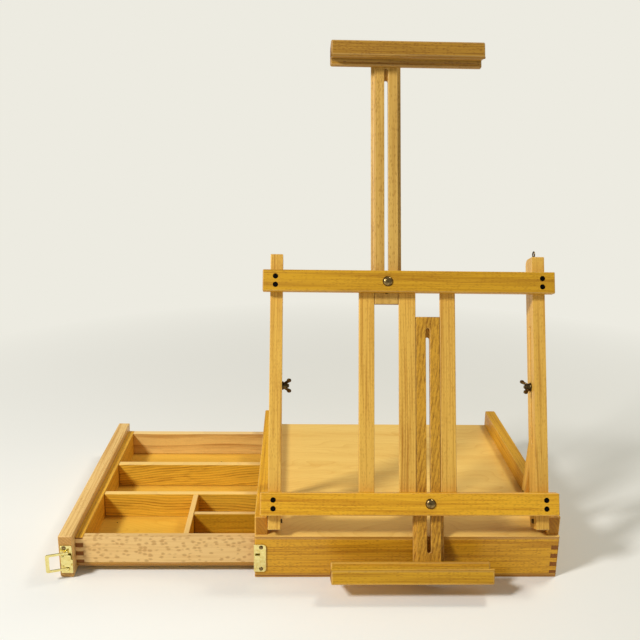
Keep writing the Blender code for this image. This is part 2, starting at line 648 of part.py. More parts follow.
def build_sliders(frame):
    """Both sliders with the clamp and the ledge fixed to their fronts."""
    offset = (MIDDLE_GUIDE + CHANNEL) / 2
    build_slider("upper_slider", GUIDE_CENTRE - offset, UPPER_SLIDER, UPPER_SLOT, UPPER_REAR_SLOT, frame)
    canvas_bar("canvas_clamp", CLAMP_CENTRE, CLAMP, frame)
    build_slider("lower_slider", GUIDE_CENTRE + offset, LOWER_SLIDER, LOWER_SLOT, LOWER_REAR_SLOT, frame)
    canvas_bar("canvas_ledge", LEDGE_CENTRE, LEDGE, frame)


def build_screw_eye(frame):
    """A bent-wire screw eye in the top of the right stile."""
    wire = 0.0010
    ring = 0.0040
    lift = 0.0060
    stem = 0.008
    x = STILE_INNER + STILE_WIDTH / 2
    y = 0.004
    points = [(x, y, STILE_TOP - stem), (x, y, STILE_TOP + 0.0015)]
    for angle in range(-80, 241, 20):
        turn = math.radians(angle)
        points.append((x, y + ring * math.cos(turn), STILE_TOP + lift + ring * math.sin(turn)))
    curve = bpy.data.curves.new("screw_eye", "CURVE")
    curve.dimensions = "3D"
    curve.bevel_depth = wire
    curve.bevel_resolution = 1
    curve.render_resolution_u = 0
    curve.use_fill_caps = True
    spline = curve.splines.new("POLY")
    spline.points.add(len(points) - 1)
    for point, place in zip(spline.points, points):
        point.co = (*place, 1)
    curve.materials.append(finish("aged_brass"))
    eye = bpy.data.objects.new("screw_eye", curve)
    bpy.context.scene.collection.objects.link(eye)
    eye.parent = frame
    bore(bpy.data.objects["stile_right"], "Z", (x, y), wire + GAP,
         STILE_TOP - stem - GAP, STILE_TOP + 0.001, frame, 8)


# ---------------------------------------------------------------- struts
def build_struts(frame):
    """Each strut swings on its rail and is clamped to its stile by a bolt in the slot."""
    lean = math.sin(LEAN)
    reach = STRUT_PIVOT_Y - PIVOT_SETBACK
    drop = LID_TOP + PIVOT_LIFT - STRUT_PIVOT_Z
    # distance along the stile at which the strut's upper end meets the slot's centre line
    along = reach * lean - drop * math.cos(LEAN)
    across = reach * math.cos(LEAN) + drop * lean
    bolt_height = along + math.sqrt(STRUT_LENGTH ** 2 - across ** 2)
    bolt_y = PIVOT_SETBACK + bolt_height * lean
    strut_lean = math.asin((bolt_y - STRUT_PIVOT_Y) / STRUT_LENGTH)
    half = STRUT_WIDTH / 2
    for side_name, sign in (("left", -1), ("right", 1)):
        pivot = empty(f"strut_{side_name}_swings",
                      (0, FRONT + STRUT_PIVOT_Y, STRUT_PIVOT_Z), strut_lean)
        outline = arc((0, STRUT_LENGTH), half, 0, 180, 8) + arc((0, 0), half, 180, 360, 8)
        x = sorted((sign * STRUT_INNER, sign * (STRUT_INNER + STRUT_THICKNESS)))
        strut = prism("strut_" + side_name, outline, "X", *x, "beech", pivot)
        hole = [(0.0039, sign * (STRUT_INNER - 0.001)), (0.0039, sign * (STRUT_INNER + 0.0007)),
                (0.0022, sign * (STRUT_INNER + 0.0024)), (0.0022, sign * (STRUT_INNER + 0.010))]
        combine(strut, "DIFFERENCE", turned("hole", hole, "X", (0, 0), "beech", pivot, 12))
        bore(strut, "X", (0, STRUT_LENGTH), 0.0026, sign * (STRUT_INNER - 0.001),
             sign * (STRUT_INNER + 0.010), pivot, 12)

        inner = sign * (STILE_INNER - GAP)
        bolt = empty(f"strut_bolt_{side_name}_slides", (0, 0, bolt_height), parent=frame)
        profile = [(0.0018, inner - sign * 0.0092), (0.0024, inner - sign * 0.0086),
                   (0.0024, sign * WEB_FACE)]
        turned("strut_bolt_" + side_name, profile, "X", (0, 0), "aged_brass", bolt)
        nut = empty(f"strut_nut_{side_name}_turns", (inner, 0, 0), parent=bolt)
        nut.rotation_euler = (0, -sign * math.radians(90), 0)
        wing_nut("strut_wing_nut_" + side_name, nut, STRUT_NUT_TURN)


def main():
    for old in list(bpy.data.objects):
        bpy.data.objects.remove(old, do_unlink=True)
    build_box()
    build_catch()
    build_drawer()
    frame = empty("frame_leans", PIVOT, LEAN)
    stiles = build_stiles(frame)
    build_crossbars(frame, stiles)
    build_guides(frame)
    build_sliders(frame)
    build_screw_eye(frame)
    build_struts(frame)


main()
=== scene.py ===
"""Looks of the table-top box easel: lacquered beech and plywood, brass latch, dark fittings.

Every wooden board is rebuilt from its solid with eased arrises and carries its own grain
coordinates, so that growth rings, fibres and ray flecks run through it as through a real board.
"""
import json
import math
import random

import bmesh
import bpy
import numpy as np
from mathutils import Matrix, Vector

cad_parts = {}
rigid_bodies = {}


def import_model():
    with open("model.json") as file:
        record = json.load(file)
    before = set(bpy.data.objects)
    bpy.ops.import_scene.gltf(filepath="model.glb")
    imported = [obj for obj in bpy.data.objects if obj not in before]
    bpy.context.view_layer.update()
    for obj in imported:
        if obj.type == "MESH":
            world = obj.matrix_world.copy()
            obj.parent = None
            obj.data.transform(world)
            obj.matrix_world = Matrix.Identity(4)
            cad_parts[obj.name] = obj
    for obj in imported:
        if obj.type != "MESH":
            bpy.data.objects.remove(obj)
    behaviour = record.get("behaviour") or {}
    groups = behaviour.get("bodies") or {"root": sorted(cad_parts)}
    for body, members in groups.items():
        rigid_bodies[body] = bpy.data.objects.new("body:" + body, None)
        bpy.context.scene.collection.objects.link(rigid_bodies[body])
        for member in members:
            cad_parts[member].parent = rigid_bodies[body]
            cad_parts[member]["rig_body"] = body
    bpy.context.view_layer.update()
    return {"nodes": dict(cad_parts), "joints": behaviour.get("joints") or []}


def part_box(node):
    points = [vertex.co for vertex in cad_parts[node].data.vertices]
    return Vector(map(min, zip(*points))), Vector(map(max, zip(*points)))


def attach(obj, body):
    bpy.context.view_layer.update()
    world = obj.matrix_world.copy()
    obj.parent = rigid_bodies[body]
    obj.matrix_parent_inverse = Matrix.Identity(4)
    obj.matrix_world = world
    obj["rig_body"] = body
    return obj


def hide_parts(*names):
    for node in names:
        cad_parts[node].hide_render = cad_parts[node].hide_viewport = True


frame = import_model()

JOINTS = {joint["name"]: joint for joint in frame["joints"]}
UP_FRAME = Vector(JOINTS["upper_slide"]["axis"]).normalized()
OUT_FRAME = Vector(JOINTS["slider_nut_upper_turn"]["axis"]).normalized()
X_AXIS = Vector((1, 0, 0))
Y_AXIS = Vector((0, 1, 0))
Z_AXIS = Vector((0, 0, 1))
draw = random.Random(11)

# clean-up of the solids' meshes, in metres and radians
MERGE_DISTANCE = 2e-6
FLAT_WITHIN = math.radians(0.4)
ARRIS_TURN = math.radians(40)         # an edge that turns by more than this is an arris
ARRIS_CARRY = math.radians(36)        # an arris carries on into a short edge that bends less
BOARD_SMOOTH = math.radians(38)
LATHE_SMOOTH = math.radians(32)
SHORT_METAL_EDGE = 0.0009             # shorter metal edges stay sharp, unless they carry on a long one
HANDLED_WEAR_AND_HIGHLIGHT = 4.2                    # handling wear and painted highlight on top faces, where an arris has 1

# colours of timber details, as displayed
FLECK_BROWN = (120, 62, 18)
CUT_BROWN = (112, 50, 12)
# pale arrises and top faces: partly wear, partly painted highlight
WEAR_AND_HIGHLIGHT_CREAM = (255, 226, 170)
SEAM_BROWN = (104, 58, 12)

# how far a board's arrises are rounded, and the shortest arris that is, in metres
CASE_WALL = {"width": 0.0005, "shortest": 0.03}
DRAWER_WALL = {"width": 0.0006, "shortest": 0.03}
DIVIDER = {"width": 0.0009, "shortest": 0.006}
CANVAS_BAR = {"width": 0.0022, "shortest": 0.006}
UPWARD = math.radians(90)             # the board lies straight above the tree's heart

RING_PERIOD = 0.314                   # metres between the rings of a wave texture of scale 1
LACQUER_ROUGHNESS = 0.42
TARNISH_SCALE = 260.0

# camera, floor and light: metres, radians, and millimetres for the lens and sensor
CAMERA_PLACE = (-0.1491, -1.1149, 0.6100)
CAMERA_YAW, CAMERA_PITCH, CAMERA_ROLL = 0.0316, -0.2708, 0.0169
CAMERA_LENS = 45.14
CAMERA_SENSOR = 36
FLOOR_RADIUS = 9
FLOOR_DROP = 0.0002                   # the floor lies this far under the base
FADE_START, FADE_END = 0.45, 1.3      # distances from the origin
ROOM_LIGHT = 0.30                     # light from the surroundings, as a share of their look
LIGHT_TARGET = Vector((-0.05, -0.05, 0.15))


def body_of(node):
    """Name of the body that a CAD node belongs to."""
    return frame["nodes"][node]["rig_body"]


# ---------------------------------------------------------------- node helpers
# sockets of a mix node that is set to colour
MIX_FACTOR, MIX_A, MIX_B, MIX_RESULT = 0, 6, 7, 2


class Shader:
    """A material under construction, with short calls for its nodes."""

    def __init__(self, name):
        self.material = bpy.data.materials.new(name)
        self.material.use_nodes = True
        self.tree = self.material.node_tree
        self.surface = self.tree.nodes["Principled BSDF"]

    def node(self, kind, inputs=None, **settings):
        made = self.tree.nodes.new(kind)
        for key, value in settings.items():
            setattr(made, key, value)
        for key, value in (inputs or {}).items():
            self.feed(made.inputs[key], value)
        return made

    def feed(self, socket, value):
        if isinstance(value, bpy.types.NodeSocket):
            self.tree.links.new(value, socket)
        else:
            socket.default_value = value

    def math(self, operation, a, b=0.0, clamp=False):
        return self.node("ShaderNodeMath", {0: a, 1: b}, operation=operation, use_clamp=clamp).outputs[0]

    def scaled(self, vector, scale):
        return self.node("ShaderNodeMapping", {"Vector": vector, "Scale": scale}).outputs[0]

    def noise(self, vector, scale, detail=3.0, roughness=0.55):
        inputs = {"Vector": vector, "Scale": scale, "Detail": detail, "Roughness": roughness}
        return self.node("ShaderNodeTexNoise", inputs).outputs["Fac"]

    def remap(self, value, low, high, to_low=0.0, to_high=1.0):
        inputs = {"Value": value, "From Min": low, "From Max": high, "To Min": to_low, "To Max": to_high}
        return self.node("ShaderNodeMapRange", inputs).outputs["Result"]

    def mix(self, amount, a, b):
        made = self.node("ShaderNodeMix", data_type="RGBA", blend_type="MIX")
        self.feed(made.inputs[MIX_FACTOR], amount)
        self.feed(made.inputs[MIX_A], a)
        self.feed(made.inputs[MIX_B], b)
        return made.outputs[MIX_RESULT]

    def attribute(self, name):
        return self.node("ShaderNodeAttribute", attribute_name=name)

    def set(self, **inputs):
        for key, value in inputs.items():
            self.feed(self.surface.inputs[key.replace("_", " ")], value)


def colour(red, green, blue):
    """A display colour of 0 to 255 as the linear colour that a shader takes."""
    def linear(value):
        value /= 255
        return value / 12.92 if value <= 0.04045 else ((value + 0.055) / 1.055) ** 2.4
    return (linear(red), linear(green), linear(blue), 1.0)


# ---------------------------------------------------------------- wood
def wood(name, light, dark, rings, ring_width=0.0035, warp=0.003, warp_scale=(3.0, 12.0),
         flecks=0.45, fleck_size=(0.0050, 0.0011), fleck_share=0.5, streaks=1.0, end_shade=0.35):
    """Lacquered wood.

    rings, flecks and streaks say how strongly growth rings, ray flecks and straight grain show.
    warp is how far the rings wander, and warp_scale how often, along and across the grain.
    fleck_size is a fleck's length and width, and fleck_share about the share of places with one.
    end_shade darkens the end grain. Texture scales are in features per metre, first along the
    grain and then across it.
    """
    shader = Shader(name)
    grain = shader.attribute("grain").outputs["Vector"]
    end = shader.attribute("end_grain").outputs["Fac"]
    wear_and_highlight = shader.attribute("arris").outputs["Fac"]

    along, across = warp_scale
    drift = shader.node("ShaderNodeTexNoise", {"Vector": shader.scaled(grain, (along, across, across)),
                                               "Scale": 1.0, "Detail": 2.0}).outputs["Color"]
    shift = shader.node("ShaderNodeVectorMath", {0: drift, 1: (0.5, 0.5, 0.5)}, operation="SUBTRACT")
    shift = shader.node("ShaderNodeVectorMath", {0: shift.outputs[0], 1: (0.0, warp * 4, warp * 4)},
                        operation="MULTIPLY")
    bent = shader.node("ShaderNodeVectorMath", {0: grain, 1: shift.outputs[0]}).outputs[0]

    wave = shader.node("ShaderNodeTexWave", {"Vector": bent, "Scale": RING_PERIOD / ring_width,
                                             "Distortion": 0.6, "Detail": 2.0, "Detail Scale": 0.4},
                       wave_type="RINGS", rings_direction="X", wave_profile="SAW")
    late = shader.math("POWER", wave.outputs["Fac"], 2.5)
    ring_mask = shader.remap(shader.noise(shader.scaled(grain, (4, 40, 40)), 1.0), 0.3, 0.7, 0.45, 1.0)
    late = shader.math("MULTIPLY", late, ring_mask)

    fibre = shader.noise(shader.scaled(grain, (60, 1300, 1300)), 1.0, 4.0, 0.6)
    line = shader.noise(shader.scaled(bent, (6, 480, 480)), 1.0, 2.0)
    streak = shader.noise(shader.scaled(bent, (5, 170, 170)), 1.0, 2.0)
    broad = shader.noise(shader.scaled(grain, (2.5, 22, 22)), 1.0, 2.0)

    ragged = shader.node("ShaderNodeTexNoise", {"Vector": shader.scaled(grain, (150, 900, 900)),
                                                "Scale": 1.0, "Detail": 1.0}).outputs["Color"]
    length, width = fleck_size
    cell_place = shader.node("ShaderNodeVectorMath",
                             {0: shader.scaled(bent, (1 / length, 1 / width, 1 / width)),
                              1: shader.node("ShaderNodeVectorMath", {0: ragged, 1: (0.5, 0.5, 0.5)},
                                             operation="MULTIPLY").outputs[0]}).outputs[0]
    cells = shader.node("ShaderNodeTexVoronoi", {"Vector": cell_place, "Scale": 1.0}, feature="F1")
    lens = shader.remap(cells.outputs["Distance"], 0.28, 0.52, 1.0, 0.0)
    pick = shader.node("ShaderNodeSeparateColor", {0: cells.outputs["Color"]}).outputs[0]
    crowd = shader.remap(shader.noise(shader.scaled(grain, (12, 60, 60)), 1.0), 0.35, 0.65,
                         fleck_share * 0.4, fleck_share * 1.5)
    fleck = shader.math("MULTIPLY", lens, shader.math("LESS_THAN", pick, crowd))

    tone = shader.math("MULTIPLY", late, rings)
    tone = shader.math("ADD", tone, shader.remap(streak, 0.35, 0.65, -0.13 * streaks, 0.18 * streaks))
    tone = shader.math("ADD", tone, shader.remap(line, 0.36, 0.64, -0.28 * streaks, 0.38 * streaks))
    tone = shader.math("ADD", tone, shader.remap(broad, 0.35, 0.65, -0.10, 0.16))
    tone = shader.math("ADD", tone, shader.remap(fibre, 0.3, 0.7, -0.08, 0.08), clamp=True)
    face = shader.mix(tone, light, dark)
    fleck_colour = shader.mix(0.35, dark, colour(*FLECK_BROWN))
    face = shader.mix(shader.math("MULTIPLY", fleck, flecks), face, fleck_colour)

    pores = shader.noise(shader.scaled(grain, (300, 1100, 1100)), 1.0, 2.0)
    cut = colour(*CUT_BROWN)
    end_face = shader.mix(shader.remap(pores, 0.3, 0.7), shader.mix(0.6, light, dark),
                          shader.mix(0.25, dark, cut))
    end_face = shader.mix(end_shade, end_face, cut)
    end_face = shader.mix(shader.math("MULTIPLY", late, 0.5), end_face, cut)
    face = shader.mix(shader.math("MULTIPLY", end, 0.9), face, end_face)
    # arrises and marked top faces paler: partly edge wear, partly painted highlight where edges catch the
    # light
    pale = shader.mix(0.5, light, colour(*WEAR_AND_HIGHLIGHT_CREAM))
    face = shader.mix(shader.math("MULTIPLY", wear_and_highlight, 0.20), face, pale)

    height = shader.math("ADD", shader.math("MULTIPLY", fibre, 0.5), shader.math("MULTIPLY", fleck, -0.35))
    height = shader.math("ADD", height, shader.math("MULTIPLY", late, -0.3))
    bump = shader.node("ShaderNodeBump", {"Height": height, "Strength": 0.35, "Distance": 0.00025})
    rough = shader.remap(streak, 0.3, 0.7, LACQUER_ROUGHNESS - 0.06, LACQUER_ROUGHNESS + 0.09)
    rough = shader.math("ADD", rough, shader.math("MULTIPLY", end, 0.18))
    shader.set(Base_Color=face, Roughness=rough, Normal=bump.outputs[0])
    shader.set(Specular_IOR_Level=0.30, Coat_Weight=0.06, Coat_Roughness=0.28)
    return shader.material


def plywood(name, light, dark, core):
    """Plywood: a broad, pale rotary-cut face, and a dark core and seams along its edges."""
    shader = Shader(name)
    grain = shader.attribute("grain").outputs["Vector"]
    edge = shader.attribute("end_grain").outputs["Fac"]
    layer = shader.attribute("layer").outputs["Fac"]
    warp = shader.noise(shader.scaled(grain, (3.0, 9.0, 0.0)), 1.0, 2.0)
    bands = shader.noise(shader.scaled(grain, (2.2, 34.0, 0.0)), 1.0, 4.0, 0.6)
    across = shader.node("ShaderNodeSeparateXYZ", {0: shader.scaled(grain, (1, 95, 1))}).outputs[1]
    line_place = shader.math("ADD", shader.math("MULTIPLY", warp, 26.0), across)
    lines = shader.math("POWER", shader.math("FRACT", line_place), 5.0)
    fibre = shader.noise(shader.scaled(grain, (60, 1200, 1200)), 1.0, 4.0, 0.6)
    flecks = shader.noise(shader.scaled(grain, (110, 700, 700)), 1.0, 1.0)
    tone = shader.math("MULTIPLY", lines, 0.30)
    tone = shader.math("ADD", tone, shader.remap(bands, 0.3, 0.7, -0.10, 0.42))
    tone = shader.math("ADD", tone, shader.remap(fibre, 0.3, 0.7, -0.06, 0.07))
    tone = shader.math("ADD", tone, shader.remap(flecks, 0.62, 0.72, 0.0, 0.25), clamp=True)
    face = shader.mix(tone, light, dark)
    from_middle = shader.math("ABSOLUTE", shader.math("SUBTRACT", layer, 0.5))
    side = shader.mix(shader.math("LESS_THAN", from_middle, 0.17), shader.mix(0.9, light, dark), core)
    side = shader.mix(shader.math("GREATER_THAN", from_middle, 0.38), side, colour(*SEAM_BROWN))
    face = shader.mix(edge, face, side)
    bump = shader.node("ShaderNodeBump", {"Height": fibre, "Strength": 0.2, "Distance": 0.0002})
    shader.set(Base_Color=face, Roughness=shader.remap(bands, 0.3, 0.7, 0.30, 0.42))
    shader.set(Normal=bump.outputs[0], Specular_IOR_Level=0.5, Coat_Weight=0.15, Coat_Roughness=0.25)
    return shader.material


def metal(name, base, second, roughness, dents=0.12):
    """Metal with cloudy tarnish, fine scratches and slightly uneven gloss."""
    shader = Shader(name)
    place = shader.node("ShaderNodeTexCoord").outputs["Object"]
    cloud = shader.noise(place, TARNISH_SCALE, 4.0, 0.6)
    scratch = shader.noise(shader.scaled(place, (900, 5200, 900)), 1.0, 2.0)
    face = shader.mix(shader.remap(cloud, 0.35, 0.68), base, second)
    rough = shader.math("ADD", shader.remap(cloud, 0.3, 0.7, roughness - 0.06, roughness + 0.12),
                        shader.remap(scratch, 0.4, 0.6, -0.03, 0.05))
    bump = shader.node("ShaderNodeBump", {"Height": scratch, "Strength": dents, "Distance": 0.0001})
    shader.set(Base_Color=face, Roughness=rough, Metallic=1.0, Normal=bump.outputs[0])
    return shader.material


HONEY = wood("beech_honey", colour(228, 180, 80), colour(170, 108, 20), rings=0.30, flecks=0.28)
TAN = wood("beech_tan", colour(212, 170, 86), colour(160, 110, 30), rings=0.10, flecks=0.5,
           fleck_size=(0.0060, 0.0014), fleck_share=0.55, streaks=0.6)
GOLD = wood("beech_gold", colour(234, 176, 40), colour(174, 106, 4), rings=0.28, ring_width=0.0042,
            warp=0.0015, flecks=0.35, end_shade=0.10)
# a darker copy of the gold beech, for boards that stand in less light: painted shade
GOLD_IN_SHADE = wood("beech_gold_painted_shade", colour(208, 156, 34), colour(150, 94, 4), rings=0.28, ring_width=0.0042,
             warp=0.0015, flecks=0.35)
CASE = wood("beech_case", colour(222, 164, 36), colour(160, 94, 2), rings=0.30, ring_width=0.0050,
            warp=0.0015)
JOINTED = wood("beech_jointed", colour(232, 176, 52), colour(172, 104, 8), rings=0.28,
               ring_width=0.0042, warp=0.0015, end_shade=0.85)
UMBER = wood("beech_umber", colour(172, 126, 42), colour(112, 70, 8), rings=0.25, ring_width=0.0042,
             warp=0.0015, flecks=0.6)
DEEP = wood("beech_deep", colour(212, 158, 50), colour(118, 64, 4), rings=0.62, ring_width=0.0048,
            warp=0.0022, warp_scale=(4.0, 9.0), flecks=0.25, streaks=0.7)
PALE = wood("beech_pale", colour(240, 200, 128), colour(196, 138, 58), rings=0.25,
            flecks=0.35, fleck_size=(0.006, 0.0012), end_shade=0.0)
FLECKED = wood("beech_flecked", colour(236, 196, 128), colour(206, 152, 80), rings=0.06, flecks=0.58,
               fleck_size=(0.0072, 0.0046), fleck_share=0.62, streaks=0.6)
CONTOURED = wood("beech_contoured", colour(240, 200, 118), colour(164, 98, 20), rings=0.85,
                 ring_width=0.0200, warp=0.008, warp_scale=(3.5, 3.5), flecks=0.10, streaks=0.35)
WAVY = wood("beech_wavy", colour(240, 190, 60), colour(146, 84, 6), rings=0.85, ring_width=0.0042,
            warp=0.003, warp_scale=(9.0, 14.0), flecks=0.10, streaks=0.6)
PLY = plywood("plywood_face", colour(250, 208, 112), colour(222, 166, 62), colour(150, 92, 26))
PLY_GOLD = plywood("plywood_gold", colour(230, 182, 70), colour(198, 140, 34), colour(140, 84, 18))
BRASS = metal("polished_brass", colour(248, 236, 164), colour(232, 210, 128), 0.16, dents=0.04)
AGED = metal("aged_bronze", colour(168, 142, 92), colour(84, 66, 40), 0.24, dents=0.3)
DARK = metal("dark_bronze", colour(118, 98, 62), colour(48, 38, 24), 0.28, dents=0.3)
BLACK = metal("black_steel", colour(34, 32, 30), colour(14, 13, 13), 0.38)

# ---------------------------------------------------------------- boards
GRAIN_BASES = {
    "X": (X_AXIS, Y_AXIS, Z_AXIS),
    "Y": (Y_AXIS, X_AXIS, Z_AXIS),
    "up": (UP_FRAME, X_AXIS, OUT_FRAME),
    "bar": (X_AXIS, UP_FRAME, OUT_FRAME),
}


def strut_basis():
    """Grain along the struts, from the rail pivot to the bolt in the stile."""
    foot = Vector(JOINTS["strut_left_swing"]["pos_m"])
    bolt = Vector(JOINTS["strut_nut_left_turn"]["pos_m"])
    along = Vector((0, bolt.y - foot.y, bolt.z - foot.z)).normalized()
    return along, X_AXIS, along.cross(X_AXIS)


GRAIN_BASES["strut"] = strut_basis()


def clean_shape(node):
    """A CAD node's mesh as a bmesh with shared vertices and whole flat faces."""
    shape = bmesh.new()
    shape.from_mesh(frame["nodes"][node].data)
    bmesh.ops.remove_doubles(shape, verts=shape.verts[:], dist=MERGE_DISTANCE)
    bmesh.ops.dissolve_limit(shape, angle_limit=FLAT_WITHIN, verts=shape.verts[:],
                             edges=shape.edges[:], delimit={"NORMAL"})
    shape.normal_update()
    return shape


def is_arris(edge):
    """True for an outward edge that turns sharply enough to be an arris."""
    return len(edge.link_faces) == 2 and edge.is_convex and edge.calc_face_angle(0.0) > ARRIS_TURN


def mark_arrises(shape, shortest):
    """Weight the long arrises, and the short ones that carry on from them round a curve."""
    weights = shape.edges.layers.float.new("bevel_weight_edge")
    chosen = [edge for edge in shape.edges if is_arris(edge) and edge.calc_length() >= shortest]
    seen = set(chosen)
    while chosen:
        edge = chosen.pop()
        edge[weights] = 1.0
        for vert in edge.verts:
            ahead = (vert.co - edge.other_vert(vert).co).normalized()
            for following in vert.link_edges:
                if following in seen or not is_arris(following):
                    continue
                turn = (following.other_vert(vert).co - vert.co).normalized()
                if turn.dot(ahead) > math.cos(ARRIS_CARRY):
                    seen.add(following)
                    chosen.append(following)


def ease(shape, name, width, segments, material, shortest):
    """Turn a bmesh into an object with rounded arrises; returns it with arris faces marked."""
    mark_arrises(shape, shortest)
    mesh = bpy.data.meshes.new(name)
    shape.to_mesh(mesh)
    shape.free()
    mesh.shade_smooth()
    mesh.set_sharp_from_angle(angle=BOARD_SMOOTH)
    mesh.materials.append(material)
    mesh.materials.append(material)
    piece = bpy.data.objects.new(name, mesh)
    bpy.context.scene.collection.objects.link(piece)
    bevel = piece.modifiers.new("arrises", "BEVEL")
    bevel.limit_method = "WEIGHT"
    bevel.width = width
    bevel.segments = segments
    bevel.use_clamp_overlap = False
    bevel.material = 1
    flatten = piece.modifiers.new("flat_faces", "WEIGHTED_NORMAL")
    flatten.mode = "FACE_AREA"
    flatten.weight = 100
    flatten.keep_sharp = True
    bpy.context.view_layer.update()
    eased = bpy.data.meshes.new_from_object(piece.evaluated_get(bpy.context.evaluated_depsgraph_get()))
    piece.modifiers.clear()
    piece.data = eased
    arris = np.zeros(len(eased.polygons), np.int32)
    eased.polygons.foreach_get("material_index", arris)
    eased.polygons.foreach_set("material_index", np.zeros(len(arris), np.int32))
    eased.materials.pop()
    layer = eased.attributes.new("arris", "FLOAT", "FACE")
    layer.data.foreach_set("value", arris.astype(np.float32))
    return piece


def add_grain(piece, basis, pith, tilt=0.0, turn=None, layered=False):
    """Store grain coordinates, end-grain faces and the place through the thickness.

    pith is how far the board lies from the tree's heart, and turn in which direction round the
    grain, which is left to chance if none is given. tilt is how far the rings' axis leans out of
    line with the board. A layered board's edges all count as end grain.
    """
    mesh = piece.data
    count = len(mesh.vertices)
    points = np.empty(count * 3, np.float32)
    mesh.vertices.foreach_get("co", points)
    points = points.reshape(-1, 3)
    axes = np.array([list(axis) for axis in basis], np.float32)
    local = points @ axes.T
    centre = (local.max(0) + local.min(0)) / 2
    size = local.max(0) - local.min(0)
    local = local - centre
    layer = mesh.attributes.new("layer", "FLOAT", "POINT")
    layer.data.foreach_set("value", (local[:, 2] / size[2] + 0.5).astype(np.float32))
    chance_turn = draw.uniform(0, math.tau)
    offset = draw.uniform(0, 4)
    angle = chance_turn if turn is None else turn
    lean = np.array(Matrix.Rotation(tilt, 3, "Y") @ Matrix.Rotation(tilt * 0.6, 3, "Z"))
    local = local @ lean.T
    local += np.array([offset, pith * math.cos(angle), pith * math.sin(angle)])
    grain = mesh.attributes.new("grain", "FLOAT_VECTOR", "POINT")
    grain.data.foreach_set("vector", local.astype(np.float32).ravel())
    end = mesh.attributes.new("end_grain", "FLOAT", "FACE")
    if layered:
        facing = [float(abs(face.normal.dot(basis[2])) < 0.5) for face in mesh.polygons]
    else:
        facing = [abs(face.normal.dot(basis[0])) ** 3 for face in mesh.polygons]
    end.data.foreach_set("value", np.array(facing, np.float32))


def board(node, grain, material, width=0.0010, shortest=0.012, pith=0.06, tilt=0.0, turn=None,
          slot="beech"):
    """Rebuild a wooden node with eased arrises and grain, in place of the CAD one."""
    piece = ease(clean_shape(node), "wood_" + node, width, segments=3, material=material,
                 shortest=shortest)
    add_grain(piece, GRAIN_BASES[grain], pith, tilt, turn, slot == "plywood")
    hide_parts(node)
    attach(piece, body_of(node))
    return piece


def wear_and_highlight_top(piece):
    """Pale top faces, as on the narrow upper edges of the drawer's walls: partly handling wear, partly
    painted highlight from above.
    """
    wear_and_highlight = piece.data.attributes["arris"]
    for face in piece.data.polygons:
        if face.normal.z > 0.9:
            wear_and_highlight.data[face.index].value = HANDLED_WEAR_AND_HIGHLIGHT


def build_case():
    """Box, lid, rails and runners."""
    board("front_wall", "X", CASE, **CASE_WALL, pith=0.20, tilt=0.01)
    board("back_wall", "X", CASE, **CASE_WALL, pith=0.15, tilt=0.02)
    board("right_wall", "Y", JOINTED, **CASE_WALL, pith=0.15, tilt=0.01)
    board("lid_panel", "X", PLY, width=0.0005, slot="plywood")
    board("bottom_panel", "X", PLY_GOLD, width=0.0005, slot="plywood")
    board("rail_left", "Y", GOLD, width=0.0012, pith=0.07, tilt=0.01)
    board("rail_right", "Y", GOLD, width=0.0012, pith=0.05, tilt=0.01)
    for node in ("drawer_runner_front", "drawer_runner_back"):
        board(node, "X", PALE, width=0.0004)


def build_drawer():
    """End panel, walls, bottom and dividers."""
    board("drawer_end_panel", "Y", PALE, width=0.0010, shortest=0.006, pith=0.15)
    board("drawer_front_wall", "X", FLECKED, **DRAWER_WALL, pith=0.25, tilt=0.0, turn=UPWARD)
    wear_and_highlight_top(board("drawer_back_wall", "X", CONTOURED, **DRAWER_WALL, pith=0.30, tilt=0.02, turn=UPWARD))
    board("drawer_left_wall", "Y", JOINTED, **DRAWER_WALL, pith=0.20, tilt=0.01)
    board("drawer_right_wall", "Y", JOINTED, **DRAWER_WALL, pith=0.20, tilt=0.01)
    board("drawer_bottom", "X", PLY_GOLD, width=0.0003, slot="plywood")
    wear_and_highlight_top(board("divider_rear", "X", WAVY, **DIVIDER, pith=0.20, tilt=0.10, turn=UPWARD))
    wear_and_highlight_top(board("divider_middle", "X", WAVY, **DIVIDER, pith=0.25, tilt=-0.04, turn=UPWARD))
    wear_and_highlight_top(board("divider_front", "X", GOLD_IN_SHADE, **DIVIDER, pith=0.15, tilt=0.02, turn=UPWARD))
    wear_and_highlight_top(board("divider_short", "Y", GOLD, **DIVIDER, pith=0.15, tilt=0.02))


def build_frame():
    """Stiles, crossbars, guides, sliders, canvas bars and struts."""
    for node in ("stile_left", "stile_right"):
        board(node, "up", HONEY, width=0.0010, pith=0.08, tilt=0.004)
    board("crossbar_upper", "bar", GOLD_IN_SHADE, width=0.0015, pith=0.12, tilt=0.006)
    board("crossbar_lower", "bar", GOLD, width=0.0015, pith=0.12, tilt=0.006)
    for node in ("guide_left", "guide_middle", "guide_right"):
        board(node, "up", HONEY, width=0.0008, pith=0.10, tilt=0.004)
    board("upper_slider", "up", TAN, width=0.0007, pith=0.15)
    board("lower_slider", "up", DEEP, width=0.0007, pith=0.20, tilt=-0.28, turn=0.0)
    board("canvas_clamp", "bar", UMBER, **CANVAS_BAR, pith=0.15)
    board("canvas_ledge", "bar", GOLD_IN_SHADE, **CANVAS_BAR, pith=0.12, tilt=0.004)
    for node in ("strut_left", "strut_right"):
        board(node, "strut", HONEY, width=0.0008, pith=0.08)


